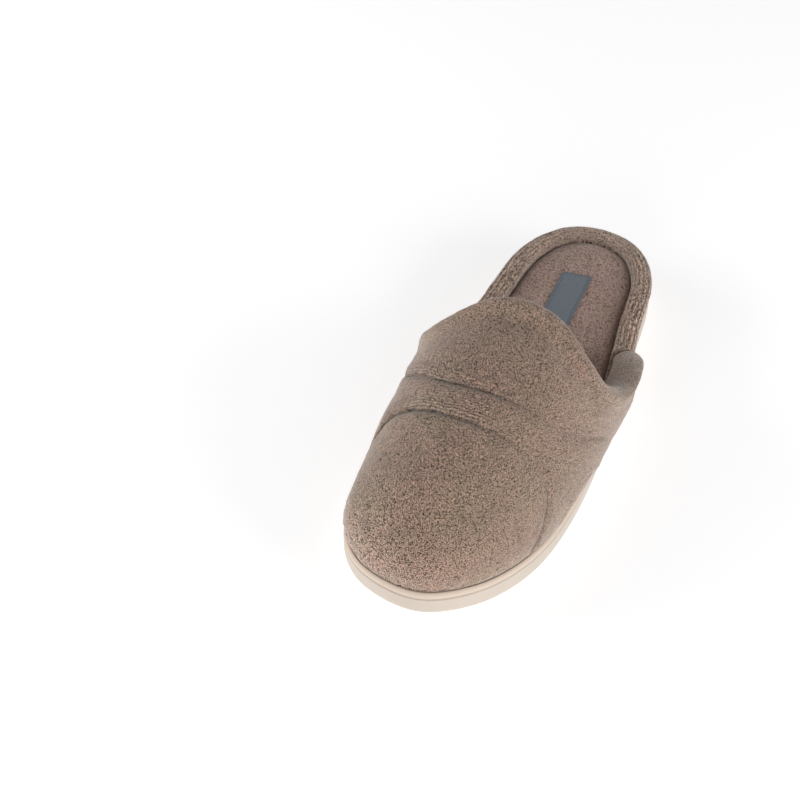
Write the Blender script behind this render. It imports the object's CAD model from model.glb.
import math

import bmesh
import bpy
import numpy as np
from mathutils import Matrix, Vector, noise


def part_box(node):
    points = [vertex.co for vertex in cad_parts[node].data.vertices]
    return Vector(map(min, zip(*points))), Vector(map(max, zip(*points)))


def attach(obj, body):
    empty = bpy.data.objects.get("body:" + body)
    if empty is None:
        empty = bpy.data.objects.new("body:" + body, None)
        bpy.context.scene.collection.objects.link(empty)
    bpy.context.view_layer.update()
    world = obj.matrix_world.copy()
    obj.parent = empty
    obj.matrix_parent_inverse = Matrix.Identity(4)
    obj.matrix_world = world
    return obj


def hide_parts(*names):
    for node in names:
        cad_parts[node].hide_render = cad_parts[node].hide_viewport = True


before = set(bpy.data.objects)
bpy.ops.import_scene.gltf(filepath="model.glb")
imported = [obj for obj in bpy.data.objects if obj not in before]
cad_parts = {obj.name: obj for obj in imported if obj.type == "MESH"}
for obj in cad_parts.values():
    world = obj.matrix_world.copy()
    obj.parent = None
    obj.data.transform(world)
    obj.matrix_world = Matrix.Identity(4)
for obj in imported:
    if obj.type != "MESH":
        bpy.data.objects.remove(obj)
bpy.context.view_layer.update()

# The moulded sole. One piece of light foamed rubber, smooth at the side, with a fine groove and a rounded
# bead above it that the terry is bonded behind. It is built on the last's outline, which every other
# piece follows too: the outline runs by an angle, 0 at the toe and half a turn at the heel on either side.
MM = 0.001
sole_low, sole_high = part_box("outsole")
LENGTH = sole_high[1] - sole_low[1]
AXIS_FROM_INNER_EDGE = 52.2 * MM
AXIS_X = sole_low[0] + AXIS_FROM_INNER_EDGE
BALL_WIDTH = 101 * MM
HEEL_WIDTH = 87 * MM
SOLE_AT_BALL = 15 * MM
SOLE_AT_HEEL = 18.8 * MM
TOE_SPRING = 6.5 * MM
HEEL_BEVEL = 1.5 * MM
BEAD_HEIGHT = 4 * MM
BEAD_WIDTH = 1.7 * MM
SEAT_DEPTH = 2 * MM
FIT = 0.3 * MM
SPRING_END = 0.28
HEEL_BEVEL_START = 0.93
HEEL_LIFT_START = 0.25
TOP_SPRING_SHARE = 0.8

# Half widths of the sole's side, inner and outer, as shares of the width that the row follows
OUTLINE = [
    # at, inner, outer, width
    (0.000, 0.070, -0.070, BALL_WIDTH),
    (0.030, 0.347, 0.145, BALL_WIDTH),
    (0.090, 0.480, 0.304, BALL_WIDTH),
    (0.180, 0.515, 0.425, BALL_WIDTH),
    (0.300, 0.510, 0.485, BALL_WIDTH),
    (0.450, 0.485, 0.495, BALL_WIDTH),
    (0.600, 0.455, 0.480, BALL_WIDTH),
    (0.750, 0.492, 0.498, HEEL_WIDTH),
    (0.880, 0.436, 0.452, HEEL_WIDTH),
    (0.965, 0.280, 0.303, HEEL_WIDTH),
    (1.000, 0.000, 0.000, HEEL_WIDTH),
]

# The sole's side from the tread up: the rounded bottom edge, the plain side, the groove and the bead
SOLE_EDGE_ROUND = 7 * MM
SOLE_EDGE_STEPS = 9
SIDE_RINGS = (0.3, 0.6, 0.85, 0.96)
GROOVE_HALF_HEIGHT = 0.55 * MM
GROOVE_DEPTH = 1.3 * MM
GROOVE_ROUND = [
    # inset, up, as shares of the groove's depth and half height
    (0.1, -1.0),
    (0.6, -0.5),
    (1.0, 0.0),
    (0.7, 0.6),
]
BEAD_ROUND = [
    # inset, up, as shares of the bead's width and height
    (0.10, 0.16),
    (0.00, 0.24),
    (-0.06, 0.40),
    (-0.04, 0.56),
    (0.08, 0.72),
    (0.30, 0.86),
    (0.58, 0.96),
    (0.85, 1.00),
    (1.00, 0.97),
]


def mix(a, b, share):
    return a + (b - a) * share


def smooth(value):
    value = np.clip(value, 0, 1)
    return value * value * (3 - 2 * value)


def curve_through(xs, ys):
    """A smooth curve through the points, as a function of x."""
    xs, ys = np.array(xs, float), np.array(ys, float)
    spans = np.diff(xs)
    chords = np.diff(ys) / spans
    inner = (chords[:-1] * spans[1:] + chords[1:] * spans[:-1]) / (spans[:-1] + spans[1:])
    slopes = np.concatenate([chords[:1], inner, chords[-1:]])

    def at(x):
        i = np.clip(np.searchsorted(xs, x, side="right") - 1, 0, len(xs) - 2)
        t = (x - xs[i]) / spans[i]
        rise = (t**3 - 2 * t**2 + t) * slopes[i] + (t**3 - t**2) * slopes[i + 1]
        return mix(ys[i], ys[i + 1], 3 * t**2 - 2 * t**3) + rise * spans[i]

    return at


def angle_at(at):
    return np.arccos(1 - 2 * np.clip(at, 0, 1))


def share_at(angle):
    return (1 - np.cos(angle)) / 2


outline_nodes = [(-angle_at(at), -inner * width) for at, inner, outer, width in OUTLINE[:0:-1]]
outline_nodes += [(angle_at(at), outer * width) for at, inner, outer, width in OUTLINE]
outline_x = curve_through(*zip(*outline_nodes))
NEAR = 0.01


def outline_y(angle):
    return (share_at(angle) - 0.5) * LENGTH


def edge_point(angle, inset):
    """A point of the sole's outline, moved inwards along the outline's own normal."""
    dx = outline_x(np.minimum(angle + NEAR, np.pi)) - outline_x(np.maximum(angle - NEAR, -np.pi))
    dy = outline_y(angle + NEAR) - outline_y(angle - NEAR)
    reach = np.hypot(dx, dy)
    return AXIS_X + outline_x(angle) - dy / reach * inset, outline_y(angle) + dx / reach * inset


def toe_lift(at):
    return TOE_SPRING * np.maximum(0, 1 - at / SPRING_END) ** 2


def floor_height(at):
    return toe_lift(at) + HEEL_BEVEL * np.maximum(0, (at - HEEL_BEVEL_START) / (1 - HEEL_BEVEL_START)) ** 2


def groove_height(at):
    heel_share = smooth((at - HEEL_LIFT_START) / (1 - HEEL_LIFT_START))
    return mix(SOLE_AT_BALL, SOLE_AT_HEEL, heel_share) + TOP_SPRING_SHARE * toe_lift(at)


def bead_top(at):
    return groove_height(at) + BEAD_HEIGHT


def seat_height(at):
    return bead_top(at) - SEAT_DEPTH


def ring(angles, inset, height):
    """One ring round the shoe."""
    x, y = edge_point(angles, inset)
    return np.stack([x, y, np.broadcast_to(height, x.shape)], axis=-1)


def grid_faces(rows, columns, closed=False):
    """Quads of a grid of points stored row by row. A closed grid joins its last column to its first."""
    across = columns if closed else columns - 1
    row, column = np.meshgrid(np.arange(rows - 1), np.arange(across), indexing="ij")
    following = (column + 1) % columns
    corners = [row * columns + column, row * columns + following]
    corners += [(row + 1) * columns + following, (row + 1) * columns + column]
    return np.stack(corners, axis=-1).reshape(-1, 4)


def make_piece(name, points, faces, material, slot, uv=None):
    """A smooth mesh piece of the shoe that takes the place of the CAD solid in the same slot."""
    mesh = bpy.data.meshes.new(name)
    mesh.from_pydata(np.asarray(points).reshape(-1, 3).tolist(), [], np.asarray(faces).tolist())
    mesh.validate()
    shell = bmesh.new()
    shell.from_mesh(mesh)
    bmesh.ops.recalc_face_normals(shell, faces=shell.faces)
    shell.to_mesh(mesh)
    shell.free()
    mesh.polygons.foreach_set("use_smooth", [True] * len(mesh.polygons))
    if uv is not None:
        corners = np.zeros(len(mesh.loops), int)
        mesh.loops.foreach_get("vertex_index", corners)
        mesh.uv_layers.new(name="cloth").data.foreach_set("uv", uv.reshape(-1, 2)[corners].ravel())
    mesh.materials.append(material)
    piece = bpy.data.objects.new(name, mesh)
    bpy.context.scene.collection.objects.link(piece)
    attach(piece, "root")
    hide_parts(slot)
    return piece


def paint(red, green, blue):
    """A colour as seen on a screen, 0 to 255, as the linear colour of a shader."""
    screen = np.array([red, green, blue]) / 255
    linear = np.where(screen <= 0.04045, screen / 12.92, ((screen + 0.055) / 1.055) ** 2.4)
    return (*linear.tolist(), 1.0)


def new_material(name):
    """A material, its node tree and its own Principled shader."""
    material = bpy.data.materials.new(name)
    material.use_nodes = True
    tree = material.node_tree
    return material, tree, tree.nodes["Principled BSDF"]


def add_node(tree, kind, settings=None, **inputs):
    """A shader node. An input is a value, or the socket of another node that feeds it."""
    node = tree.nodes.new(kind)
    for key, value in (settings or {}).items():
        setattr(node, key, value)
    for key, value in inputs.items():
        socket = node.inputs[int(key[1:])] if key[0] == "_" else node.inputs[key.replace("_", " ")]
        if isinstance(value, bpy.types.NodeSocket):
            tree.links.new(value, socket)
        else:
            socket.default_value = value
    return node


SOLE_COLOUR = paint(187, 176, 165)
SOLE_SHADE = paint(179, 167, 154)

sole_material, tree, shader = new_material("foamed rubber")
place = add_node(tree, "ShaderNodeTexCoord").outputs["Object"]
cloud = add_node(tree, "ShaderNodeTexNoise", Vector=place, Scale=45.0, Detail=3.0)
tint = add_node(
    tree, "ShaderNodeMix", {"data_type": "RGBA"}, _0=cloud.outputs["Fac"], _6=SOLE_SHADE, _7=SOLE_COLOUR
)
tree.links.new(tint.outputs[2], shader.inputs["Base Color"])
skin = add_node(tree, "ShaderNodeTexNoise", Vector=place, Scale=2600.0, Detail=2.0)
dent = add_node(tree, "ShaderNodeBump", Strength=0.18, Distance=0.08 * MM, Height=skin.outputs["Fac"])
tree.links.new(dent.outputs["Normal"], shader.inputs["Normal"])
shader.inputs["Roughness"].default_value = 0.48
shader.inputs["Specular IOR Level"].default_value = 0.42

BEAD_COLOUR = paint(192, 175, 160)

bead_material, tree, shader = new_material("bead")
place = add_node(tree, "ShaderNodeTexCoord").outputs["Object"]
grain = add_node(tree, "ShaderNodeTexNoise", Vector=place, Scale=900.0, Detail=3.0)
dent = add_node(tree, "ShaderNodeBump", Strength=0.4, Distance=0.2 * MM, Height=grain.outputs["Fac"])
tree.links.new(dent.outputs["Normal"], shader.inputs["Normal"])
shader.inputs["Base Color"].default_value = BEAD_COLOUR
shader.inputs["Roughness"].default_value = 0.75

# The tread's fine waves run across the shoe
TREAD_PITCH = 5 * MM
BAND_SCALE = 0.314 / TREAD_PITCH
tread_material, tree, shader = new_material("foamed rubber tread")
place = add_node(tree, "ShaderNodeTexCoord").outputs["Object"]
waves = add_node(
    tree,
    "ShaderNodeTexWave",
    {"wave_type": "BANDS", "bands_direction": "Y", "wave_profile": "SIN"},
    Vector=place,
    Scale=BAND_SCALE,
    Distortion=3.0,
    Detail=1.0,
    Detail_Scale=1.2,
)
dent = add_node(tree, "ShaderNodeBump", Strength=0.9, Distance=0.8 * MM, Height=waves.outputs["Fac"])
tree.links.new(dent.outputs["Normal"], shader.inputs["Normal"])
shader.inputs["Base Color"].default_value = SOLE_SHADE
shader.inputs["Roughness"].default_value = 0.7

SOLE_RING_STEPS = 288
sole_angles = np.linspace(0, 2 * np.pi, SOLE_RING_STEPS, endpoint=False)
sole_angles = np.where(sole_angles > np.pi, sole_angles - 2 * np.pi, sole_angles)
sole_at = share_at(sole_angles)
sole_rings = []
for turn in np.linspace(0, np.pi / 2, SOLE_EDGE_STEPS):
    inset, rise = SOLE_EDGE_ROUND * (1 - math.sin(turn)), SOLE_EDGE_ROUND * (1 - math.cos(turn))
    sole_rings.append(ring(sole_angles, inset, floor_height(sole_at) + rise))
side_start, side_end = floor_height(sole_at) + SOLE_EDGE_ROUND, groove_height(sole_at) - GROOVE_HALF_HEIGHT
for share in SIDE_RINGS:
    sole_rings.append(ring(sole_angles, 0, mix(side_start, side_end, share)))
for inset, up in GROOVE_ROUND:
    groove_ring_height = groove_height(sole_at) + GROOVE_HALF_HEIGHT * up
    sole_rings.append(ring(sole_angles, GROOVE_DEPTH * inset, groove_ring_height))
for inset, up in BEAD_ROUND:
    sole_rings.append(ring(sole_angles, BEAD_WIDTH * inset, groove_height(sole_at) + BEAD_HEIGHT * up))
sole_rings.append(ring(sole_angles, BEAD_WIDTH, seat_height(sole_at)))


def cap_faces(first, count):
    """Strips across a closed ring of an even count, from each of its points to the one on the other side."""
    i = np.arange(count // 2 - 1)
    return np.stack([first + i, first + count - 1 - i, first + count - 2 - i, first + i + 1], axis=-1)


sole_points = np.concatenate(sole_rings)
sole_faces = grid_faces(len(sole_rings), SOLE_RING_STEPS, closed=True)
tread_faces = cap_faces(0, SOLE_RING_STEPS)
seat_faces = cap_faces((len(sole_rings) - 1) * SOLE_RING_STEPS, SOLE_RING_STEPS)[:, ::-1]
all_faces = np.concatenate([sole_faces, seat_faces, tread_faces])
outsole = make_piece("outsole_moulded", sole_points, all_faces, sole_material, "outsole")
outsole.data.materials.append(tread_material)
outsole.data.materials.append(bead_material)
SIDE_KIND, TREAD_KIND, BEAD_KIND = 0, 1, 2
face_kinds = np.full(len(outsole.data.polygons), SIDE_KIND)
face_kinds[-len(tread_faces) :] = TREAD_KIND
first_bead = (len(sole_rings) - len(BEAD_ROUND) - 2) * SOLE_RING_STEPS
face_kinds[first_bead : len(sole_faces)] = BEAD_KIND
outsole.data.polygons.foreach_set("material_index", face_kinds)

# The vamp. Foam-backed terry, quilted by two stitched channels behind the toe and at the instep, rolled
# over at the throat and bonded behind the sole's bead. Its sections follow the last, row by row from the
# toe to the throat, then round the roll and back along the lining.
INSTEP_RISE = 62 * MM
UPPER_WALL = 6 * MM
THROAT_ROLL = 11 * MM
SIDE_SWELL = 9.5 * MM
LINING_SHARE = 0.45
SEAM_DEPTH = 1.8 * MM
SEAM_WIDTH = 4 * MM
CORNER_ROLL_SHARE = 1.2
CORNER_TOP_SHARE = 0.5
RIDGE_POWER = 1.13
TERRY_INSET = BEAD_WIDTH + FIT

# The side swell's share is greatest, with this value, where the cosine of the turn squared is four fifths
SWELL_PEAK = 0.8 * 0.2**0.25

# The last's sections from the toe to the throat: rise, width and side swells as shares of the sizes above
SECTIONS = [
    # at, rise, lean, inner swell, outer swell, crown
    (0.00, 0.00, 0.030, 0.00, 0.00, 0.97),
    (0.04, 0.29, 0.034, 0.15, 0.05, 0.96),
    (0.12, 0.52, 0.042, 0.42, 0.16, 0.94),
    (0.22, 0.70, 0.050, 0.58, 0.38, 0.90),
    (0.34, 0.87, 0.053, 0.92, 0.78, 0.84),
    (0.50, 1.00, 0.054, 1.16, 1.22, 0.78),
    (0.66, 1.04, 0.054, 0.85, 1.15, 0.78),
]

# The lines that cross the vamp, as shares of the shoe's length, by their turn from the inner to the outer side
CROSS_LINES = [
    # turn, toe seam, its sink, instep seam, its sink, throat
    (0.00, 0.150, 0.55, 0.480, 0.30, 0.655),
    (0.05, 0.184, 0.55, 0.447, 0.30, 0.640),
    (0.09, 0.214, 0.60, 0.426, 0.40, 0.550),
    (0.13, 0.238, 0.75, 0.406, 0.55, 0.505),
    (0.20, 0.269, 1.00, 0.376, 0.90, 0.468),
    (0.30, 0.277, 1.00, 0.350, 1.00, 0.466),
    (0.40, 0.270, 1.00, 0.330, 1.00, 0.491),
    (0.50, 0.265, 1.00, 0.324, 1.00, 0.508),
    (0.60, 0.263, 0.70, 0.325, 0.70, 0.494),
    (0.70, 0.257, 0.35, 0.329, 0.45, 0.458),
    (0.80, 0.236, 0.30, 0.358, 0.50, 0.455),
    (0.87, 0.202, 0.35, 0.404, 0.50, 0.511),
    (0.91, 0.183, 0.40, 0.424, 0.45, 0.588),
    (0.95, 0.166, 0.42, 0.444, 0.36, 0.640),
    (1.00, 0.152, 0.55, 0.465, 0.30, 0.655),
]
section_angles = [angle_at(row[0]) for row in SECTIONS]
rise_at, lean_at, inner_swell_at, outer_swell_at, crown_at = (
    curve_through(section_angles, column) for column in list(zip(*SECTIONS))[1:]
)
turn_column, *line_columns = zip(*CROSS_LINES)
toe_seam_at, toe_sink_at, instep_seam_at, instep_sink_at, throat_at = (
    curve_through(turn_column, column) for column in line_columns
)


def roll_swell(at, turn, outside):
    """How much fuller the padding is towards the rolled edge of the throat."""
    to_edge = (throat_at(turn) - at) * LENGTH
    up = np.sin(turn * np.pi)
    share = mix(CORNER_ROLL_SHARE, 1, smooth(up / CORNER_TOP_SHARE)) if outside else up
    return (THROAT_ROLL - UPPER_WALL) / 2 * (1 - smooth(to_edge / THROAT_ROLL)) * share


def seam_sink(at, turn):
    """How far the two stitched channels draw the padding in."""
    toe = toe_sink_at(turn) * np.exp(-abs(at - toe_seam_at(turn)) * LENGTH / SEAM_WIDTH)
    instep = instep_sink_at(turn) * np.exp(-abs(at - instep_seam_at(turn)) * LENGTH / SEAM_WIDTH)
    return SEAM_DEPTH * np.maximum(toe, instep)


def upper_point(at, turn, depth, puff):
    """A point of the vamp: at along the shoe, turn across it, and depth in from its outer surface."""
    angle = angle_at(at)
    inner_x, inner_y = edge_point(-angle, TERRY_INSET + depth)
    outer_x, outer_y = edge_point(angle, TERRY_INSET + depth)
    ridge_x = (inner_x + outer_x) / 2 - lean_at(angle) * BALL_WIDTH * smooth(at / SPRING_END)
    across, up = -np.cos(turn * np.pi), np.clip(np.sin(turn * np.pi), 0, 1)
    swell_share = np.where(across < 0, inner_swell_at(angle), outer_swell_at(angle))
    padding = LINING_SHARE if depth > 0 else 1
    swell = SIDE_SWELL * swell_share * padding * np.sqrt(up) * across**2 / SWELL_PEAK
    half = np.where(across < 0, ridge_x - inner_x, outer_x - ridge_x)
    reach = abs(across) ** crown_at(angle) * half + swell + puff * abs(across) * np.sqrt(up)
    full_rise = rise_at(angle) * INSTEP_RISE
    rise = full_rise**2 / (full_rise + depth) if depth > 0 else full_rise
    height = bead_top(at) + FIT + (rise + puff) * up**RIDGE_POWER
    x, y = ridge_x + np.sign(across) * reach, mix(inner_y, outer_y, (1 + across) / 2)
    return np.stack([x, y, height], axis=-1)


UPPER_COLUMNS = 240
TOE_ROWS = 100
BAND_ROWS = 80
INSTEP_ROWS = 100
LIP_ROWS = 18
LINING_ROWS = 50
turns = np.linspace(0, 1, UPPER_COLUMNS + 1)


def even(steps):
    """Even shares that lie a little closer at both ends, where the seams are."""
    share = np.linspace(0, 1, steps + 1)[:, None]
    return mix(share, smooth(share), 0.4)


toe_rows = share_at(even(TOE_ROWS) * angle_at(toe_seam_at(turns)))
band_rows = mix(toe_seam_at(turns), instep_seam_at(turns), even(BAND_ROWS))[1:]
instep_rows = mix(instep_seam_at(turns), throat_at(turns), even(INSTEP_ROWS))[1:]
outer_at = np.concatenate([toe_rows, band_rows, instep_rows])
outer_turn = np.broadcast_to(turns, outer_at.shape)
outer_points = upper_point(
    outer_at, outer_turn, 0, roll_swell(outer_at, outer_turn, True) - seam_sink(outer_at, outer_turn)
)
lining_share = 1 - np.linspace(0, 1, LINING_ROWS + 1)[:, None]
lining_at = share_at(lining_share * angle_at(throat_at(turns)))
lining_turn = np.broadcast_to(turns, lining_at.shape)
lining_points = upper_point(lining_at, lining_turn, UPPER_WALL, -roll_swell(lining_at, lining_turn, False))

# The roll is fuller where it turns down to the vamp's rear corners, and lies over the end of the heel rim
CORNER_FILL = 4.6 * MM
CORNER_FILL_REACH = 20 * MM
CORNER_FILL_FOOT = 1.5 * MM
CORNER_FILL_RISE = 3 * MM
CORNER_FILL_UP = 0.7
lining_up = np.sin(lining_turn * np.pi)
above_bead = lining_points[..., 2] - bead_top(lining_at)
fill = CORNER_FILL * (1 - smooth(lining_up / CORNER_FILL_UP))
fill = fill * smooth((above_bead - CORNER_FILL_FOOT) / CORNER_FILL_RISE)
fill = fill * (1 - smooth((throat_at(lining_turn) - lining_at) * LENGTH / CORNER_FILL_REACH))
lining_points[..., 0] += np.sign(np.cos(lining_turn * np.pi)) * fill

# The lip joins the outer terry to the lining in a half round that goes on in the outer terry's own direction
edge_outer, edge_lining = outer_points[-1], lining_points[0]
edge_middle = (edge_outer + edge_lining) / 2
outwards = edge_outer - edge_middle
onwards = edge_outer - outer_points[-4]
onwards -= outwards * ((onwards * outwards).sum(-1) / (outwards**2).sum(-1))[:, None]
onwards *= (np.linalg.norm(outwards, axis=-1) / np.linalg.norm(onwards, axis=-1))[:, None]
bends = np.linspace(0, np.pi, LIP_ROWS + 1)[1:-1, None, None]
lip_points = edge_middle + outwards * np.cos(bends) + onwards * np.sin(bends)


def grid_normals(points):
    """The normals of a grid of points, outwards for rows that run to the heel and columns that run over."""
    along = np.gradient(points, axis=0)
    over = np.gradient(points, axis=1)
    normals = np.cross(over, along)
    return normals / np.maximum(np.linalg.norm(normals, axis=-1), 1e-12)[..., None]


# Along the cloth: lengths along the shoe and over the vamp, for creases that are placed by hand
GIRTH = 190 * MM


def line_distance(seam, at, turn):
    """How far behind a cross line a point lies, square to the line."""
    slope = (seam(turn + NEAR) - seam(turn - NEAR)) / (2 * NEAR) * LENGTH / GIRTH
    return (at - seam(turn)) * LENGTH / np.hypot(1, slope)


PATH_STEPS = 12


def path_distance(path, at, turn):
    """How far a point lies from a path of (at, turn) points, over the cloth."""
    steps = np.linspace(0, len(path) - 1, PATH_STEPS * (len(path) - 1) + 1)
    path_at, path_turn = (curve_through(np.arange(len(path)), column)(steps) for column in zip(*path))
    nearest = np.full(np.shape(at), 1.0)
    for i in range(len(steps) - 1):
        start = np.array([path_at[i] * LENGTH, path_turn[i] * GIRTH])
        step = np.array([path_at[i + 1] * LENGTH, path_turn[i + 1] * GIRTH]) - start
        dx, dy = at * LENGTH - start[0], turn * GIRTH - start[1]
        along = np.clip((dx * step[0] + dy * step[1]) / (step**2).sum(), 0, 1)
        nearest = np.minimum(nearest, np.hypot(dx - along * step[0], dy - along * step[1]))
    return nearest


def soft_noise(points, size, seed):
    """Smooth noise from -1 to 1 whose lumps are about size across."""
    flat = points.reshape(-1, 3) / size + seed
    return np.array([noise.noise(Vector(point)) for point in flat]).reshape(points.shape[:-1])


# The stitched channels: how crisp each is over the vamp, by turn
CHANNEL_CRISP = [
    # turn, toe seam, instep seam
    (0.00, 0.30, 0.05),
    (0.12, 0.40, 0.20),
    (0.22, 0.80, 0.75),
    (0.40, 0.90, 1.00),
    (0.50, 0.75, 0.80),
    (0.60, 0.35, 0.40),
    (0.72, 0.05, 0.12),
    (0.80, 0.35, 0.20),
    (0.88, 0.60, 0.20),
    (1.00, 0.60, 0.12),
]
CHANNEL_DEPTH = 1.1 * MM
CHANNEL_HALF_WIDTH = 0.9 * MM
CREASE_HALF_WIDTH = 1.5 * MM
ROW_SHADE = 0.6
CHANNEL_LIP = 0.7 * MM
CHANNEL_LIP_PLACE = 3.2 * MM
CHANNEL_LIP_WIDTH = 2.6 * MM
FRONT_LIP_SHARE = 0.4
PINCH_LENGTH = 2.6 * MM
PUCKER = 0.5 * MM
PUCKER_LENGTH = 7 * MM
LINE_WANDER = 0.9 * MM
LOOP_ROW = 0.4 * MM
LOOP_ROW_PITCH = 1.45 * MM
LOOP_ROW_REACH = 7 * MM
LOOP_ROW_WANDER = 0.35 * MM

crisp_columns = list(zip(*CHANNEL_CRISP))
relief = np.zeros(outer_at.shape)
crease = np.zeros(outer_at.shape)
for line, crispness in ((toe_seam_at, crisp_columns[1]), (instep_seam_at, crisp_columns[2])):
    behind = line_distance(line, outer_at, outer_turn)
    crisp = np.interp(outer_turn, crisp_columns[0], crispness)
    crisp = crisp * (0.8 + 0.9 * soft_noise(outer_points, PINCH_LENGTH, 12))
    wobble = soft_noise(outer_points, PUCKER_LENGTH, 4) * crisp
    behind = behind + LINE_WANDER * wobble
    relief -= CHANNEL_DEPTH * crisp * np.exp(-abs(behind) / CHANNEL_HALF_WIDTH)
    crease = np.maximum(crease, crisp * np.exp(-abs(behind) / CREASE_HALF_WIDTH))
    for lip_share, place in ((1, CHANNEL_LIP_PLACE), (FRONT_LIP_SHARE, -CHANNEL_LIP_PLACE)):
        relief += lip_share * CHANNEL_LIP * crisp * np.exp(-(((behind - place) / CHANNEL_LIP_WIDTH) ** 2))
    relief += PUCKER * wobble * np.exp(-abs(behind) / (2 * CHANNEL_LIP_WIDTH))
    loop_row = np.cos((behind + LOOP_ROW_WANDER * wobble) * 2 * np.pi / LOOP_ROW_PITCH)
    row_share = crisp * np.where(behind > 0, np.exp(-abs(behind) / LOOP_ROW_REACH), 0)
    relief += LOOP_ROW * loop_row * row_share
    crease = np.maximum(crease, ROW_SHADE * (0.5 - 0.5 * loop_row) * row_share)

# The half round patch that is stitched in beside the ball, on both sides, as a path along its top edge
PATCH_EDGE = [
    # at, turn
    (0.236, -0.012),
    (0.256, 0.040),
    (0.282, 0.074),
    (0.312, 0.084),
    (0.346, 0.070),
    (0.404, -0.012),
]
PATCH_GROOVE = 1.1 * MM
PATCH_HALF_WIDTH = 0.9 * MM
PATCH_SHADE = 0.6
PATCH_LIP = 0.5 * MM
PATCH_LIP_PLACE = 3 * MM
PATCH_LIP_WIDTH = 2 * MM
PATCH_SINK = 0.5 * MM
PATCH_SINK_REACH = 3 * MM
for side_turn in (outer_turn, 1 - outer_turn):
    edge = path_distance(PATCH_EDGE, outer_at, side_turn)
    top = np.interp(outer_at, *zip(*PATCH_EDGE), left=-1, right=-1)
    inside = np.where(side_turn < top, 1.0, 0.0)
    stitched_in = np.exp(-((edge / PATCH_HALF_WIDTH) ** 2))
    relief -= PATCH_GROOVE * stitched_in
    crease = np.maximum(crease, PATCH_SHADE * stitched_in)
    relief += PATCH_LIP * (1 - inside) * np.exp(-(((edge - PATCH_LIP_PLACE) / PATCH_LIP_WIDTH) ** 2))
    relief -= PATCH_SINK * inside * smooth(edge / PATCH_SINK_REACH)

# Soft folds where the padding bends. A ridge has a negative depth.
FOLDS = [
    # path of (at, turn), depth, half width
    ([(0.33, 0.72), (0.38, 0.80), (0.43, 0.87)], 0.9 * MM, 7 * MM),
    ([(0.27, 0.70), (0.30, 0.80), (0.31, 0.90)], 0.7 * MM, 9 * MM),
    ([(0.30, 0.30), (0.33, 0.18), (0.40, 0.10)], 0.8 * MM, 6 * MM),
    ([(0.42, 0.22), (0.46, 0.14), (0.54, 0.08)], 0.8 * MM, 7 * MM),
    ([(0.40, 0.80), (0.47, 0.88), (0.55, 0.94)], -0.8 * MM, 7 * MM),
    ([(0.10, 0.40), (0.16, 0.46), (0.21, 0.60)], -0.7 * MM, 14 * MM),
    ([(0.39, 0.36), (0.41, 0.50), (0.40, 0.66)], -0.9 * MM, 13 * MM),
    ([(0.46, 0.30), (0.475, 0.50), (0.46, 0.70)], 0.6 * MM, 6 * MM),
]
for path, depth, half_width in FOLDS:
    relief -= depth * np.exp(-((path_distance(path, outer_at, outer_turn) / half_width) ** 2))

# Small gathers where the terry is drawn in behind the bead, strongest round the toe
GATHER = 0.8 * MM
GATHER_PITCH = 6 * MM
GATHER_HEIGHT = 3 * MM
GATHER_REACH = 4 * MM
SIDE_GATHER_LOSS = 0.7
up_side = np.sin(outer_turn * np.pi) * rise_at(angle_at(outer_at)) * INSTEP_RISE
near_bead = np.exp(-(((up_side - GATHER_HEIGHT) / GATHER_REACH) ** 2))
toe_share = 1 - SIDE_GATHER_LOSS * smooth((outer_at - 0.1) / 0.25)
relief += GATHER * near_bead * toe_share * soft_noise(outer_points * (1, 1, 0.3), GATHER_PITCH / 2, 9)

# The padding's own unevenness, and the clumps of the pile. Both fade where the terry meets the bead.
PADDING_WAVE, PADDING_WAVE_SIZE = 0.5 * MM, 34 * MM
PADDING_LUMP, PADDING_LUMP_SIZE = 0.2 * MM, 9 * MM
PILE_CLUMP, PILE_CLUMP_SIZE = 0.18 * MM, 1.7 * MM
LINING_CLUMP_SIZE = 2.1 * MM
BASE_FADE = 0.06
relief += PADDING_WAVE * soft_noise(outer_points, PADDING_WAVE_SIZE, 2)
relief += PADDING_LUMP * soft_noise(outer_points, PADDING_LUMP_SIZE, 5)
at_base = smooth(np.sin(outer_turn * np.pi) / BASE_FADE)
relief = relief * mix(0.15, 1, at_base)
relief += PILE_CLUMP * soft_noise(outer_points, PILE_CLUMP_SIZE, 3) * mix(0.3, 1, at_base)
lip_relief = PADDING_LUMP * soft_noise(lip_points, PADDING_LUMP_SIZE, 5)
lip_relief += PILE_CLUMP * soft_noise(lip_points, LINING_CLUMP_SIZE, 3)
lining_relief = PILE_CLUMP * soft_noise(lining_points, LINING_CLUMP_SIZE, 3)
lining_relief *= smooth(np.sin(lining_turn * np.pi) / BASE_FADE)

upper_grid = np.concatenate([outer_points, lip_points, lining_points])
upper_normals = grid_normals(upper_grid)
upper_relief = np.concatenate([relief, lip_relief, lining_relief])
upper_crease = np.pad(crease, ((0, len(upper_grid) - len(crease)), (1, 1)))
TIP_ROWS = 6
fade_in = smooth(np.arange(len(upper_grid)) / TIP_ROWS)[:, None]
upper_grid = upper_grid + upper_normals * (upper_relief * fade_in)[..., None]


def add_feet(grid):
    """The wall's foot goes on down behind the bead to the sole's seat."""
    first, last = grid[:, :1].copy(), grid[:, -1:].copy()
    for foot in (first, last):
        foot[..., 2] = seat_height(np.clip(foot[..., 1] / LENGTH + 0.5, 0, 1)) + FIT
    return np.concatenate([first, grid, last], axis=1)


upper_grid = add_feet(upper_grid)
upper_rows, upper_columns = upper_grid.shape[:2]
upper_faces = grid_faces(upper_rows, upper_columns)

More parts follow.
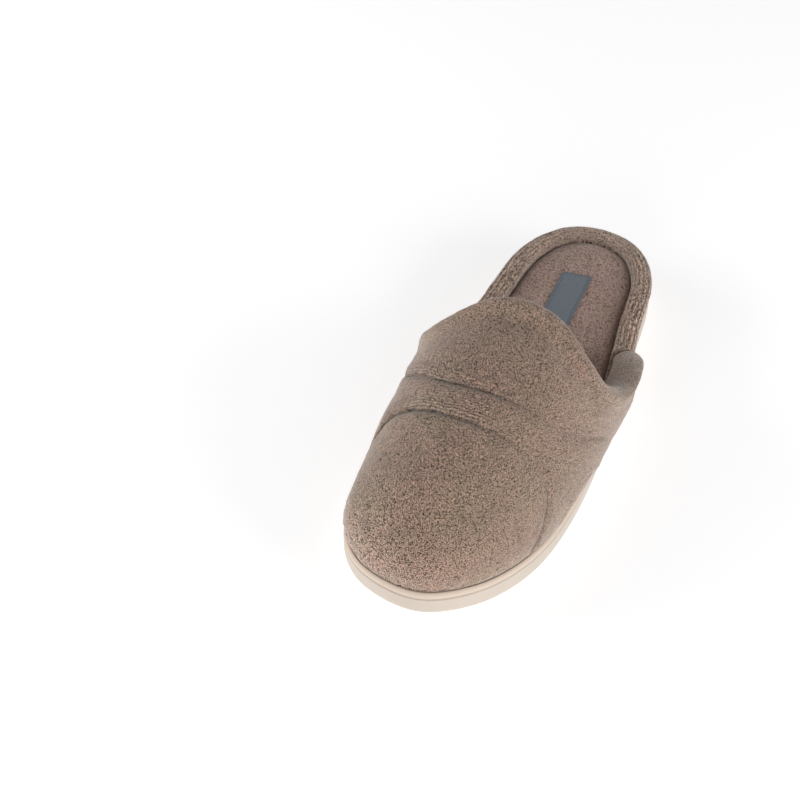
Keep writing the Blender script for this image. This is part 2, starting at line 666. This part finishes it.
# The terry itself: rows of cotton loops that run across the shoe and lean over one another, seen as short
# bright streaks with dark gaps between them. One node group serves the vamp, the heel rim and the footbed.
terry = bpy.data.node_groups.new("terry pile", "ShaderNodeTree")
for socket, kind in (
    ("Vector", "NodeSocketVector"),
    ("Loop Tops", "NodeSocketColor"),
    ("Gaps", "NodeSocketColor"),
    ("Loop Scale", "NodeSocketFloat"),
    ("Gap Share", "NodeSocketFloat"),
    ("Crease", "NodeSocketFloat"),
):
    terry.interface.new_socket(socket, in_out="INPUT", socket_type=kind)
terry.interface.new_socket("Color", in_out="OUTPUT", socket_type="NodeSocketColor")
terry.interface.new_socket("Height", in_out="OUTPUT", socket_type="NodeSocketFloat")
given = terry.nodes.new("NodeGroupInput").outputs
result = terry.nodes.new("NodeGroupOutput").inputs
LOOP_LENGTH_SHARE = 0.28
LOOP_RISE_SHARE = 0.72
LOOP_BEND = 0.6 * MM
LOOP_TOP_SHARE = 0.25
CREASE_TONE = 0.12
NAP_CHANGE = 0.07
BLUSH = (1.03, 0.97, 0.985, 1)
MOSS = (0.985, 1.005, 0.96, 1)

# The rows sway a little, and each loop is drawn out along its row
sway = add_node(terry, "ShaderNodeTexNoise", Vector=given["Vector"], Scale=240.0, Detail=1.0)
bent = add_node(
    terry,
    "ShaderNodeVectorMath",
    {"operation": "MULTIPLY_ADD"},
    _0=sway.outputs["Color"],
    _1=(LOOP_BEND, LOOP_BEND, LOOP_BEND),
    _2=given["Vector"],
)
drawn = add_node(
    terry,
    "ShaderNodeVectorMath",
    {"operation": "MULTIPLY"},
    _0=bent.outputs[0],
    _1=(LOOP_LENGTH_SHARE, 1.0, LOOP_RISE_SHARE),
)
lying = {"Vector": drawn.outputs[0], "Scale": given["Loop Scale"]}

# The loops' bright backs, the dark gaps between them, and the round tops of those that stand up
streaks = add_node(terry, "ShaderNodeTexNoise", **lying, Detail=0.3, Roughness=0.5)
parted = add_node(
    terry, "ShaderNodeMath", {"operation": "SUBTRACT"}, _0=streaks.outputs["Fac"], _1=given["Gap Share"]
)
streak = add_node(terry, "ShaderNodeMapRange", Value=parted.outputs[0], From_Min=0.47, From_Max=0.53)
loops = add_node(terry, "ShaderNodeTexVoronoi", {"feature": "F1"}, **lying, Randomness=1.0)
loop_top = add_node(terry, "ShaderNodeMapRange", Value=loops.outputs["Distance"], From_Min=0.8, From_Max=0.15)
pile_height = add_node(
    terry, "ShaderNodeMix", _0=LOOP_TOP_SHARE, _2=streak.outputs[0], _3=loop_top.outputs[0]
)
terry.links.new(pile_height.outputs[0], result["Height"])

# Where the cloth is drawn into a crease its loops lie in the dark
crease_share = add_node(terry, "ShaderNodeMapRange", Value=given["Crease"], To_Min=1.0, To_Max=CREASE_TONE)
shown = add_node(
    terry, "ShaderNodeMath", {"operation": "MULTIPLY"}, _0=pile_height.outputs[0], _1=crease_share.outputs[0]
)
loop_colour = add_node(
    terry,
    "ShaderNodeMix",
    {"data_type": "RGBA"},
    _0=shown.outputs[0],
    _6=given["Gaps"],
    _7=given["Loop Tops"],
)

# Patches where the nap lies another way are lighter or darker, and a little rosier or greener
nap = add_node(terry, "ShaderNodeTexNoise", Vector=given["Vector"], Scale=38.0, Detail=3.0, Roughness=0.6)
nap_share = add_node(terry, "ShaderNodeMapRange", Value=nap.outputs["Fac"], From_Min=0.3, From_Max=0.7)
nap_share.inputs["To Min"].default_value = 1 - NAP_CHANGE
nap_share.inputs["To Max"].default_value = 1 + NAP_CHANGE
napped = add_node(
    terry, "ShaderNodeVectorMath", {"operation": "SCALE"}, _0=loop_colour.outputs[2], _3=nap_share.outputs[0]
)
blush = add_node(terry, "ShaderNodeTexNoise", Vector=given["Vector"], Scale=48.0, Detail=3.0)
blush_share = add_node(terry, "ShaderNodeMapRange", Value=blush.outputs["Fac"], From_Min=0.36, From_Max=0.64)
hue = add_node(terry, "ShaderNodeMix", {"data_type": "RGBA"}, _0=blush_share.outputs[0], _6=BLUSH, _7=MOSS)
tinted = add_node(
    terry, "ShaderNodeVectorMath", {"operation": "MULTIPLY"}, _0=napped.outputs[0], _1=hue.outputs[2]
)
terry.links.new(tinted.outputs[0], result["Color"])

ROW_TURN = math.radians(31)
LOOPS_PER_METRE = 3700.0


def terry_material(name, tops, dark, bump, scale=LOOPS_PER_METRE, gap_share=0.0, from_cloth=False):
    """Terry whose loop rows run across the shoe, or along the cloth's own coordinates."""
    material, tree, shader = new_material(name)
    coordinates = add_node(tree, "ShaderNodeTexCoord").outputs["UV" if from_cloth else "Object"]
    turned = add_node(tree, "ShaderNodeMapping", Vector=coordinates)
    turned.inputs["Rotation"].default_value = (0, 0, 0 if from_cloth else ROW_TURN)
    pile = tree.nodes.new("ShaderNodeGroup")
    pile.node_tree = terry
    tree.links.new(turned.outputs[0], pile.inputs["Vector"])
    pile.inputs["Loop Tops"].default_value = tops
    pile.inputs["Gaps"].default_value = dark
    pile.inputs["Loop Scale"].default_value = scale
    pile.inputs["Gap Share"].default_value = gap_share
    pinched = add_node(tree, "ShaderNodeAttribute", {"attribute_name": "crease"})
    tree.links.new(pinched.outputs["Fac"], pile.inputs["Crease"])
    tree.links.new(pile.outputs["Color"], shader.inputs["Base Color"])
    dent = add_node(tree, "ShaderNodeBump", Strength=1.0, Distance=bump, Height=pile.outputs["Height"])
    tree.links.new(dent.outputs["Normal"], shader.inputs["Normal"])
    shader.inputs["Roughness"].default_value = 1.0
    shader.inputs["Specular IOR Level"].default_value = 0.1
    shader.inputs["Sheen Weight"].default_value = 1.0
    shader.inputs["Sheen Roughness"].default_value = 0.4
    shader.inputs["Sheen Tint"].default_value = (1.0, 0.95, 0.9, 1.0)
    return material


UPPER_TOPS = paint(218, 184, 160)
UPPER_GAPS = paint(14, 8, 4)
UPPER_GAP_SHARE = 0.014
UPPER_PILE = 0.45 * MM
upper_material = terry_material("vamp terry", UPPER_TOPS, UPPER_GAPS, UPPER_PILE, gap_share=UPPER_GAP_SHARE)
upper = make_piece("vamp_terry", upper_grid, upper_faces, upper_material, "upper")
upper.data.attributes.new("crease", "FLOAT", "POINT").data.foreach_set("value", upper_crease.ravel())

# The heel rim. A padded roll of the same terry, sewn round the footbed's edge from one corner of the vamp
# to the other. The terry is stretched along it, so its loop rows show as ribs.
RIM_WIDTH = 10.5 * MM
RIM_RISE = 9.8 * MM
RIM_TUCK = 24 * MM
RIM_SHOULDER = 3 * MM
RIM_DIP = 3 * MM
RIM_DIP_LENGTH = 7 * MM
RIM_OVERHANG = 2.2 * MM
HEEL_OVERHANG_LOSS = 0.85
HEEL_OVERHANG_START = 0.82
HEEL_OVERHANG_FADE = 0.16
RIM_SWELL = 1.6 * MM
RIM_SWELL_LENGTH = 11 * MM
RIM_OUTER_INSET = BEAD_WIDTH / 3
RIM_INNER_INSET = RIM_OUTER_INSET + RIM_WIDTH
UPPER_INNER_INSET = TERRY_INSET + UPPER_WALL
RIM_ROUND = [
    # across, up
    (1.00, 0.35),
    (0.97, 0.62),
    (0.86, 0.84),
    (0.66, 0.97),
    (0.44, 1.00),
    (0.22, 0.93),
    (0.07, 0.74),
    (0.00, 0.46),
    (0.03, 0.18),
]
RIM_STATIONS = 380
RIM_ROUND_STEPS = 47
RIM_HIDDEN_ROWS = 3
RIM_RIB = 0.4 * MM
RIM_RIBS = 9
RIM_RIB_RUN = 6 * MM
RIM_LUMP, RIM_LUMP_SIZE = 0.35 * MM, 13 * MM
RIM_CLUMP, RIM_CLUMP_SIZE = 0.22 * MM, 2.2 * MM
RIM_VALLEY_SHADE = 0.35
RIM_FOOT_SHADE = 0.55
RIM_CLOTH_LENGTH = 300 * MM
RIM_CLOTH_WIDTH = 26 * MM
rim_shoulder = throat_at(0.0) + UPPER_WALL / 3 / LENGTH
rim_end = rim_shoulder - RIM_TUCK / LENGTH
rim_angles = np.linspace(angle_at(rim_end), 2 * np.pi - angle_at(rim_end), RIM_STATIONS)
rim_angles = np.where(rim_angles > np.pi, rim_angles - 2 * np.pi, rim_angles)
rim_at = share_at(rim_angles)
past_vamp = (rim_at - rim_shoulder) * LENGTH
rim_outer = mix(UPPER_INNER_INSET + FIT, RIM_OUTER_INSET, smooth(past_vamp / RIM_SHOULDER))
rim_foot = np.maximum(rim_outer, TERRY_INSET)
rim_free, rim_seat = bead_top(rim_at) + FIT, seat_height(rim_at) + FIT
rim_dip = RIM_DIP * smooth(-past_vamp / RIM_DIP_LENGTH)
rim_swell = RIM_SWELL * np.exp(-((past_vamp / RIM_SWELL_LENGTH) ** 2))
rim_top = groove_height(rim_at) + RIM_RISE + rim_swell - rim_dip
knots = np.linspace(0, 1, len(RIM_ROUND))
round_steps = np.linspace(0, 1, RIM_ROUND_STEPS)
round_across, round_up = (curve_through(knots, column)(round_steps) for column in zip(*RIM_ROUND))
rim_overhang = RIM_OVERHANG * smooth(past_vamp / (2 * RIM_SHOULDER))
rim_overhang *= 1 - HEEL_OVERHANG_LOSS * smooth((rim_at - HEEL_OVERHANG_START) / HEEL_OVERHANG_FADE)
rim_rows = [ring(rim_angles, rim_foot, rim_free), ring(rim_angles, rim_foot, rim_seat)]
rim_rows.append(ring(rim_angles, RIM_INNER_INSET, rim_seat))
for across, up in zip(round_across, round_up):
    rim_inset = mix(rim_outer, RIM_INNER_INSET, across) - rim_overhang * (1 - across) * up
    rim_rows.append(ring(rim_angles, rim_inset, mix(rim_free, rim_top, up)))
rim_grid = np.stack(rim_rows)
rim_normals = -grid_normals(rim_grid)
rim_wave = np.cos(round_steps * 2 * np.pi * RIM_RIBS)[:, None]
rim_run = rim_grid[RIM_HIDDEN_ROWS:]
rib = RIM_RIB * rim_wave * (0.6 + 0.4 * soft_noise(rim_run * (1, 1, 0), RIM_RIB_RUN, 4))
lump = RIM_LUMP * soft_noise(rim_run, RIM_LUMP_SIZE, 6) + RIM_CLUMP * soft_noise(rim_run, RIM_CLUMP_SIZE, 7)
ends = np.sin(round_steps * np.pi)[:, None] ** 0.5
rim_grid[RIM_HIDDEN_ROWS:] += rim_normals[RIM_HIDDEN_ROWS:] * ((rib + lump) * ends)[..., None]
rim_points = rim_grid.transpose(1, 0, 2)
rim_count = rim_points.shape[1]
rim_end_faces = [cap_faces(0, rim_count), cap_faces((RIM_STATIONS - 1) * rim_count, rim_count)[:, ::-1]]
rim_faces = np.concatenate([grid_faces(RIM_STATIONS, rim_count, closed=True), *rim_end_faces])
rim_length = np.linspace(0, RIM_CLOTH_LENGTH, RIM_STATIONS)[:, None]
rim_over = np.concatenate([[-4 * MM, -2 * MM, -1 * MM], round_steps * RIM_CLOTH_WIDTH])[None, :]
rim_uv = np.stack(np.broadcast_arrays(rim_length, rim_over), axis=-1)
RIM_TOPS = paint(250, 220, 199)
RIM_GAPS = paint(92, 68, 54)
STRETCHED_LOOPS_PER_METRE = 2600.0
rim_material = terry_material(
    "heel rim terry", RIM_TOPS, RIM_GAPS, UPPER_PILE, STRETCHED_LOOPS_PER_METRE, from_cloth=True
)
rim = make_piece("heel_rim_terry", rim_points, rim_faces, rim_material, "heel_rim", uv=rim_uv)
rim_crease = 0.5 * RIM_VALLEY_SHADE * (1 - rim_wave) + RIM_FOOT_SHADE * np.exp(-round_steps / 0.1)[:, None]
rim_crease = np.pad(rim_crease + 0 * rim_at, ((RIM_HIDDEN_ROWS, 0), (0, 0))).T
rim.data.attributes.new("crease", "FLOAT", "POINT").data.foreach_set("value", rim_crease.ravel())

# The footbed. A thin pad under flatter, shorter terry, cut to lie inside the vamp's wall and the heel rim,
# with its edge turned down into a dark crease beside the rim.
INSOLE_THICKNESS = 3.8 * MM
INSOLE_EDGE_ROUND = 2.8 * MM
INSOLE_LEAD = 5 * MM
INSOLE_CROWN = 0.8 * MM
INSOLE_CROWN_REACH = 14 * MM
INSOLE_WAVE, INSOLE_WAVE_SIZE, INSOLE_WAVE_SEED = 0.35 * MM, 22 * MM, 8
INSOLE_CLUMP, INSOLE_CLUMP_SIZE = 0.12 * MM, 1.8 * MM
INSOLE_PILE = 0.25 * MM
INSOLE_EDGE_SHADE = 0.45
INSOLE_SHADE_REACH = 2 * MM
INSOLE_RING_STEPS = 300
INSOLE_ACROSS_STEPS = 72
insole_angles = np.linspace(0, 2 * np.pi, INSOLE_RING_STEPS, endpoint=False)
insole_angles = np.where(insole_angles > np.pi, insole_angles - 2 * np.pi, insole_angles)
insole_at = share_at(insole_angles)
beside_rim = smooth(((insole_at - rim_end) * LENGTH + INSOLE_LEAD) / RIM_TUCK + 1)
insole_inset = FIT + mix(UPPER_INNER_INSET, RIM_INNER_INSET, beside_rim)


def insole_top(at):
    return seat_height(at) + FIT + INSOLE_THICKNESS


insole_rings = [ring(insole_angles, insole_inset, seat_height(insole_at) + FIT)]
for turn in np.linspace(0, np.pi / 2, 7):
    inset, drop = INSOLE_EDGE_ROUND * (1 - math.cos(turn)), INSOLE_EDGE_ROUND * (1 - math.sin(turn))
    insole_rings.append(ring(insole_angles, insole_inset + inset, insole_top(insole_at) - drop))
insole_points = np.concatenate(insole_rings)
insole_faces = grid_faces(len(insole_rings), INSOLE_RING_STEPS, closed=True)
base_faces = cap_faces(0, INSOLE_RING_STEPS)
top_ring = insole_rings[-1]
i = np.arange(INSOLE_RING_STEPS // 2 + 1)
left, right = top_ring[i], top_ring[(INSOLE_RING_STEPS - i) % INSOLE_RING_STEPS]
across = np.linspace(0, 1, INSOLE_ACROSS_STEPS + 1)[None, :, None]
top_grid = left[:, None] * (1 - across) + right[:, None] * across
half_width = np.linalg.norm(right - left, axis=-1)[:, None] / 2
to_side = np.minimum(across[..., 0], 1 - across[..., 0]) * 2 * half_width
crown = INSOLE_CROWN * smooth(to_side / INSOLE_CROWN_REACH)
wave = INSOLE_WAVE * soft_noise(top_grid, INSOLE_WAVE_SIZE, INSOLE_WAVE_SEED) * smooth(to_side / (8 * MM))
clump = INSOLE_CLUMP * soft_noise(top_grid, INSOLE_CLUMP_SIZE, 8) * smooth(to_side / (2 * MM))
top_grid[..., 2] += crown + wave + clump
top_faces = grid_faces(*top_grid.shape[:2]) + len(insole_points)
insole_points = np.concatenate([insole_points, top_grid.reshape(-1, 3)])
insole_faces = np.concatenate([insole_faces, base_faces, top_faces])
INSOLE_TOPS = paint(220, 187, 173)
INSOLE_GAPS = paint(118, 92, 80)
insole_material = terry_material(
    "footbed terry", INSOLE_TOPS, INSOLE_GAPS, INSOLE_PILE, STRETCHED_LOOPS_PER_METRE
)
insole = make_piece("footbed_terry", insole_points, insole_faces, insole_material, "insole")
edge_shade = INSOLE_EDGE_SHADE * np.exp(-to_side / INSOLE_SHADE_REACH)
ring_shade = np.full(len(insole_points) - edge_shade.size, INSOLE_EDGE_SHADE)
insole_crease = np.concatenate([ring_shade, edge_shade.ravel()])
insole.data.attributes.new("crease", "FLOAT", "POINT").data.foreach_set("value", insole_crease)

# The label. A bare strip of grey-blue woven satin tape, turned under and stitched down round its edge, on
# the footbed in front of the heel.
label_low, label_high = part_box("insole_label")
label_half = (np.array(label_high) - np.array(label_low)) / 2
LABEL_THICKNESS = 0.5 * MM
LABEL_LIFT = 0.9 * MM
LABEL_DEPTH = 0.6 * MM
LABEL_SKEW = 1.2 * MM
LABEL_EDGE_ROUND = 0.5 * MM
STITCH_INSET = 1.4 * MM
STITCH_HALF_WIDTH = 0.45 * MM
STITCH_SINK = 0.18 * MM
LABEL_COLUMNS = 60
LABEL_ROWS = 200
STITCH_PITCH = 2.2 * MM
label_u, label_v = np.linspace(-1, 1, LABEL_COLUMNS + 1), np.linspace(-1, 1, LABEL_ROWS + 1)
label_grid_v, label_grid_u = np.meshgrid(label_v, label_u, indexing="ij")
label_x = mix(label_low[0], label_high[0], (label_grid_u + 1) / 2)
label_y = mix(label_low[1], label_high[1], (label_grid_v + 1) / 2) + LABEL_SKEW * label_grid_u
label_place = np.stack([label_x, label_y, np.zeros_like(label_x)], axis=-1)
FOOTBED_HEIGHT = 24 * MM
lie = INSOLE_WAVE * soft_noise(label_place + (0, 0, FOOTBED_HEIGHT), INSOLE_WAVE_SIZE, INSOLE_WAVE_SEED)
from_edge = np.minimum((1 - abs(label_grid_u)) * label_half[0], (1 - abs(label_grid_v)) * label_half[1])
roll_down = np.sqrt(np.clip(1 - (1 - np.clip(from_edge / LABEL_EDGE_ROUND, 0, 1)) ** 2, 0, 1))
stitch_line = np.exp(-(((from_edge - STITCH_INSET) / STITCH_HALF_WIDTH) ** 2))
label_seat = insole_top(label_y / LENGTH + 0.5) + LABEL_LIFT
label_z = label_seat + lie + LABEL_THICKNESS * roll_down - STITCH_SINK * stitch_line
label_top = np.stack([label_x, label_y, label_z], axis=-1)
label_base = label_top.copy()
label_base[..., 2] = label_seat - LABEL_DEPTH
label_faces = grid_faces(LABEL_ROWS + 1, LABEL_COLUMNS + 1)
under = label_faces[:, ::-1] + label_grid_u.size
label_index = np.arange(label_top[..., 0].size).reshape(label_top.shape[:2])
label_edge = np.concatenate(
    [label_index[0, :-1], label_index[:-1, -1], label_index[-1, :0:-1], label_index[:0:-1, 0]]
)
next_edge, below = np.roll(label_edge, -1), label_index.size
walls = np.stack([next_edge, label_edge, label_edge + below, next_edge + below], axis=-1)
label_points = np.concatenate([label_top.reshape(-1, 3), label_base.reshape(-1, 3)])
TAPE_DARK = paint(106, 116, 126)
TAPE_LIGHT = paint(128, 138, 148)
TAPE_STITCH = paint(62, 66, 74)
label_material, tree, shader = new_material("woven tape")
place = add_node(tree, "ShaderNodeTexCoord").outputs["Object"]
warp, weft = (
    add_node(tree, "ShaderNodeTexWave", {"bands_direction": way}, Vector=place, Scale=threads, Distortion=0.6)
    for way, threads in (("X", 700.0), ("Y", 520.0))
)
weave = add_node(tree, "ShaderNodeMath", {"operation": "ADD"}, _0=warp.outputs["Fac"], _1=weft.outputs["Fac"])
slub = add_node(tree, "ShaderNodeTexNoise", Vector=place, Scale=900.0, Detail=3.0)
tape = add_node(
    tree, "ShaderNodeMix", {"data_type": "RGBA"}, _0=slub.outputs["Fac"], _6=TAPE_DARK, _7=TAPE_LIGHT
)
sewn = add_node(tree, "ShaderNodeAttribute", {"attribute_name": "crease"})
stitched = add_node(tree, "ShaderNodeMix", {"data_type": "RGBA"}, _0=sewn.outputs["Fac"], _6=tape.outputs[2])
stitched.inputs[7].default_value = TAPE_STITCH
tree.links.new(stitched.outputs[2], shader.inputs["Base Color"])
dent = add_node(tree, "ShaderNodeBump", Strength=0.5, Distance=0.12 * MM, Height=weave.outputs[0])
tree.links.new(dent.outputs["Normal"], shader.inputs["Normal"])
shader.inputs["Roughness"].default_value = 0.6
shader.inputs["Sheen Weight"].default_value = 0.2
label_faces = np.concatenate([label_faces, under, walls])
label = make_piece("insole_label_tape", label_points, label_faces, label_material, "insole_label")
label_stitches = 0.5 + 0.5 * np.sign(np.sin((label_x + label_y) * 2 * np.pi / STITCH_PITCH))
label_crease = np.maximum(0.55 * stitch_line * label_stitches, 0.7 * np.exp(-from_edge / (0.4 * MM)))
label_crease = np.tile(label_crease.ravel(), 2)
label.data.attributes.new("crease", "FLOAT", "POINT").data.foreach_set("value", label_crease)

# The floor: a plain pale sheet, lit softly from below, that the slipper stands on.
floor_mesh = bpy.data.meshes.new("floor")
FLOOR_HALF = 40.0
floor_corners = [(x * FLOOR_HALF, y * FLOOR_HALF, 0) for x, y in ((-1, -1), (1, -1), (1, 1), (-1, 1))]
floor_mesh.from_pydata(floor_corners, [], [(0, 1, 2, 3)])
floor_material, tree, shader = new_material("pale floor")
shader.inputs["Base Color"].default_value = (0.83, 0.83, 0.84, 1)
shader.inputs["Roughness"].default_value = 0.6
shader.inputs["Specular IOR Level"].default_value = 0.2
shader.inputs["Emission Color"].default_value = (1.0, 1.0, 1.0, 1)
shader.inputs["Emission Strength"].default_value = 0.5
floor_mesh.materials.append(floor_material)
floor = bpy.data.objects.new("floor", floor_mesh)
bpy.context.scene.collection.objects.link(floor)

# The light: a white room that is brightest low down all round and dimmer overhead, and a large soft light
# on each side and in front. Colours are shown as they are, without a film curve.
bpy.context.scene.view_settings.view_transform = "Standard"
HORIZON_LIGHT = 0.98
ZENITH_LIGHT = 0.0
world = bpy.data.worlds.new("white room")
bpy.context.scene.world = world
world.use_nodes = True
background = world.node_tree.nodes["Background"]
background.inputs["Color"].default_value = (1.0, 1.0, 1.0, 1)
direction = add_node(world.node_tree, "ShaderNodeTexCoord").outputs["Generated"]
upwards = add_node(world.node_tree, "ShaderNodeSeparateXYZ", Vector=direction)
strength = add_node(
    world.node_tree,
    "ShaderNodeMapRange",
    Value=upwards.outputs["Z"],
    From_Min=0.0,
    From_Max=1.0,
    To_Min=HORIZON_LIGHT,
    To_Max=ZENITH_LIGHT,
)
world.node_tree.links.new(strength.outputs[0], background.inputs["Strength"])
LIGHTS = [
    # name, place, size, power
    ("left_light", (-1.3, -0.3, 0.2), 1.0, 14.0),
    ("right_light", (1.3, -0.1, 0.2), 1.0, 16.0),
    ("front_light", (0.1, -1.5, 0.2), 1.0, 15.0),
]
for name, light_place, size, power in LIGHTS:
    data = bpy.data.lights.new(name, "AREA")
    data.shape = "SQUARE"
    data.size = size
    data.energy = power
    light = bpy.data.objects.new(name, data)
    light.location = light_place
    aim = Vector((0, 0, 0.04)) - Vector(light_place)
    light.rotation_mode = "QUATERNION"
    light.rotation_quaternion = aim.to_track_quat("-Z", "Y")
    bpy.context.scene.collection.objects.link(light)

# The camera stands in front of the toe and to the shoe's outer side, and looks down at it.
CAMERA_FROM_AXIS = (152.8 * MM, -527.8 * MM, 578.4 * MM)
CAMERA_TURN = 22.71
CAMERA_DROP = 45.73
CAMERA_ROLL = 0.17
camera_data = bpy.data.cameras.new("camera")
camera_data.lens = 67.0
camera_data.sensor_width = 36.0
camera = bpy.data.objects.new("camera", camera_data)
look = Matrix.Identity(4)
for degrees, axis in ((CAMERA_TURN, "Z"), (90 - CAMERA_DROP, "X"), (CAMERA_ROLL, "Z")):
    look = look @ Matrix.Rotation(math.radians(degrees), 4, axis)
camera.matrix_world = Matrix.Translation(Vector(CAMERA_FROM_AXIS) + Vector((AXIS_X, 0, 0))) @ look
bpy.context.scene.collection.objects.link(camera)
bpy.context.scene.camera = camera
